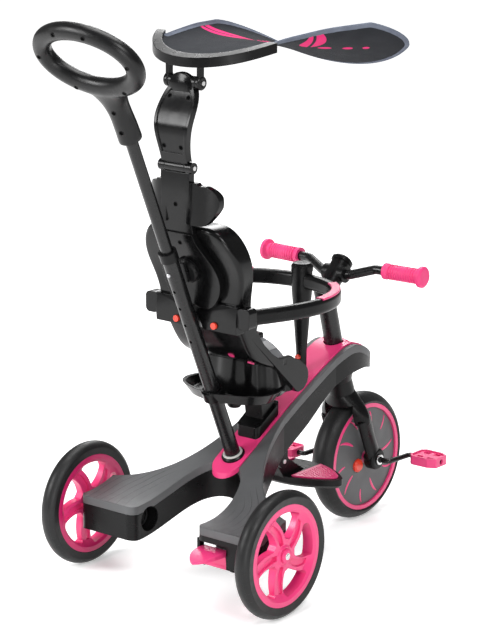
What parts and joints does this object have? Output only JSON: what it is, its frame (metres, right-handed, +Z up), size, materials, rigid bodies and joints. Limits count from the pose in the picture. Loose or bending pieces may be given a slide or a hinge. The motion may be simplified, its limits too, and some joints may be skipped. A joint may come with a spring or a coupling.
{
  "type": "children's tricycle with push pole",
  "caption": "Child's pink and black pedal tricycle with steered front wheel, bucket seat, safety hoop, sun canopy, footrest and a telescoping push pole with loop handle.",
  "frame": {"origin": "on the ground under the middle of the overall length, on the centre plane", "axes": "+X forward along the spine, +Y to the rider's left, +Z up"},
  "size_m": [0.9502, 0.486, 1.069],
  "materials": {
    "pink_plastic": "fine satin",
    "grey_plastic": "fine grain",
    "black_plastic": "fine grain",
    "black_metal": "satin powder coat",
    "steel": "turned",
    "tyre": "moulded",
    "bush_plastic": "smooth",
    "red_plastic": "smooth",
    "button_metal": "smooth",
    "pad_fabric": "woven",
    "webbing": "woven strap",
    "canopy_fabric": "close weave"
  },
  "bodies": {
    "frame": {"frame_lower_shell": "black_plastic", "frame_upper_cover": "grey_plastic", "spine_cover": "pink_plastic", "steering_bushes": "bush_plastic", "rear_axles": "steel", "brake_drums": "black_plastic", "rear_hub_cap_left": "pink_plastic", "rear_hub_cap_right": "pink_plastic", "pole_lower_tube": "black_metal", "pole_collar": "black_plastic", "pole_ring": "black_plastic", "seat_pedestal": "black_plastic", "seat_tray": "black_plastic", "seat_knob": "black_plastic", "seat_drum": "black_plastic", "seat_shell": "black_plastic", "seat_pad": "pad_fabric", "harness_plugs": "pink_plastic", "lap_belt": "webbing", "belt_buckle": "black_plastic", "back_plate": "black_plastic", "headrest": "black_plastic", "hinge_pins": "steel", "safety_hoop": "black_plastic", "hoop_pads": "pink_plastic", "hoop_post": "black_plastic", "post_cap": "black_plastic", "lever_brackets": "black_plastic"},
    "steering": {"fork": "black_plastic", "steering_column": "black_metal", "stem": "black_plastic", "stem_cap": "black_plastic", "handlebar": "black_metal", "grips": "pink_plastic"},
    "front_wheel": {"front_tyre": "tyre", "front_rim": "pink_plastic", "front_discs": "grey_plastic", "crank_axle": "black_metal"},
    "clutch": {"clutch_knob": "red_plastic"},
    "left_pedal": {"pedal_left": "pink_plastic"},
    "right_pedal": {"pedal_right": "pink_plastic"},
    "left_rear_wheel": {"rear_tyre_left": "tyre", "rear_rim_left": "pink_plastic"},
    "right_rear_wheel": {"rear_tyre_right": "tyre", "rear_rim_right": "pink_plastic"},
    "brake_paddle": {"brake_lever": "pink_plastic"},
    "footrest": {"footrest_base": "black_plastic", "footrest_treads": "pink_plastic"},
    "push_handle": {"pole_upper_tube": "black_metal", "handle_front_half": "black_plastic", "handle_rear_half": "black_plastic"},
    "pole_release": {"pole_button": "button_metal"},
    "canopy_support": {"canopy_arm": "black_plastic", "canopy_pin": "steel"},
    "canopy": {"canopy_rim": "black_plastic", "canopy_sheet": "canopy_fabric"},
    "back_dial": {"seat_dial": "black_plastic"},
    "left_hoop_release": {"hoop_button_left": "red_plastic"},
    "right_hoop_release": {"hoop_button_right": "red_plastic"},
    "post_release": {"post_button": "red_plastic"}
  },
  "joints": [
    {"name": "steering", "type": "hinge", "parent": "frame", "child": "steering", "pos_m": [0.33844, 0, 0.12179], "axis": [-0.2672, 0, 0.9636], "range_deg": [-30, 30]},
    {"name": "front_wheel_spin", "type": "hinge", "parent": "steering", "child": "front_wheel", "pos_m": [0.35, 0, 0.125], "axis": [0, 1, 0], "continuous": true},
    {"name": "clutch_push", "type": "slide", "parent": "front_wheel", "child": "clutch", "axis": [0, 1, 0], "range_m": [0, 0.003]},
    {"name": "left_pedal_spin", "type": "hinge", "parent": "front_wheel", "child": "left_pedal", "pos_m": [0.302, 0, 0.119], "axis": [0, 1, 0], "continuous": true},
    {"name": "right_pedal_spin", "type": "hinge", "parent": "front_wheel", "child": "right_pedal", "pos_m": [0.398, 0, 0.131], "axis": [0, 1, 0], "continuous": true},
    {"name": "left_rear_spin", "type": "hinge", "parent": "frame", "child": "left_rear_wheel", "pos_m": [-0.176, 0, 0.115], "axis": [0, 1, 0], "continuous": true},
    {"name": "right_rear_spin", "type": "hinge", "parent": "frame", "child": "right_rear_wheel", "pos_m": [-0.176, 0, 0.115], "axis": [0, 1, 0], "continuous": true},
    {"name": "brake_press", "type": "hinge", "parent": "frame", "child": "brake_paddle", "pos_m": [-0.196, 0, 0.075], "axis": [0, 1, 0], "range_deg": [-12, 0]},
    {"name": "footrest_fold", "type": "hinge", "parent": "frame", "child": "footrest", "pos_m": [0.086, 0, 0.18], "axis": [0, 1, 0], "range_deg": [0, 90]},
    {"name": "pole_length", "type": "slide", "parent": "frame", "child": "push_handle", "axis": [-0.4051, 0, 0.9143], "range_m": [-0.13, 0]},
    {"name": "pole_button_push", "type": "slide", "parent": "frame", "child": "pole_release", "axis": [0.9143, 0, 0.4051], "range_m": [0, 0.0015], "stiffness_N_per_m": 300},
    {"name": "canopy_arm_tilt", "type": "hinge", "parent": "frame", "child": "canopy_support", "pos_m": [-0.183, 0, 0.773], "axis": [0, 1, 0], "range_deg": [-10, 10]},
    {"name": "canopy_tilt", "type": "hinge", "parent": "canopy_support", "child": "canopy", "pos_m": [-0.163, 0, 0.918], "axis": [0, 1, 0], "range_deg": [-20, 15]},
    {"name": "dial_turn", "type": "hinge", "parent": "frame", "child": "back_dial", "pos_m": [-0.15539, 0, 0.585], "axis": [-0.9308, 0, -0.3657], "range_deg": [0, 90]},
    {"name": "left_hoop_button", "type": "slide", "parent": "frame", "child": "left_hoop_release", "axis": [1, 0, 0], "range_m": [0, 0.0025], "stiffness_N_per_m": 400},
    {"name": "right_hoop_button", "type": "slide", "parent": "frame", "child": "right_hoop_release", "axis": [1, 0, 0], "range_m": [0, 0.0025], "stiffness_N_per_m": 400},
    {"name": "post_button_push", "type": "slide", "parent": "frame", "child": "post_release", "axis": [1, 0, 0], "range_m": [0, 0.0025], "stiffness_N_per_m": 400}
  ]
}
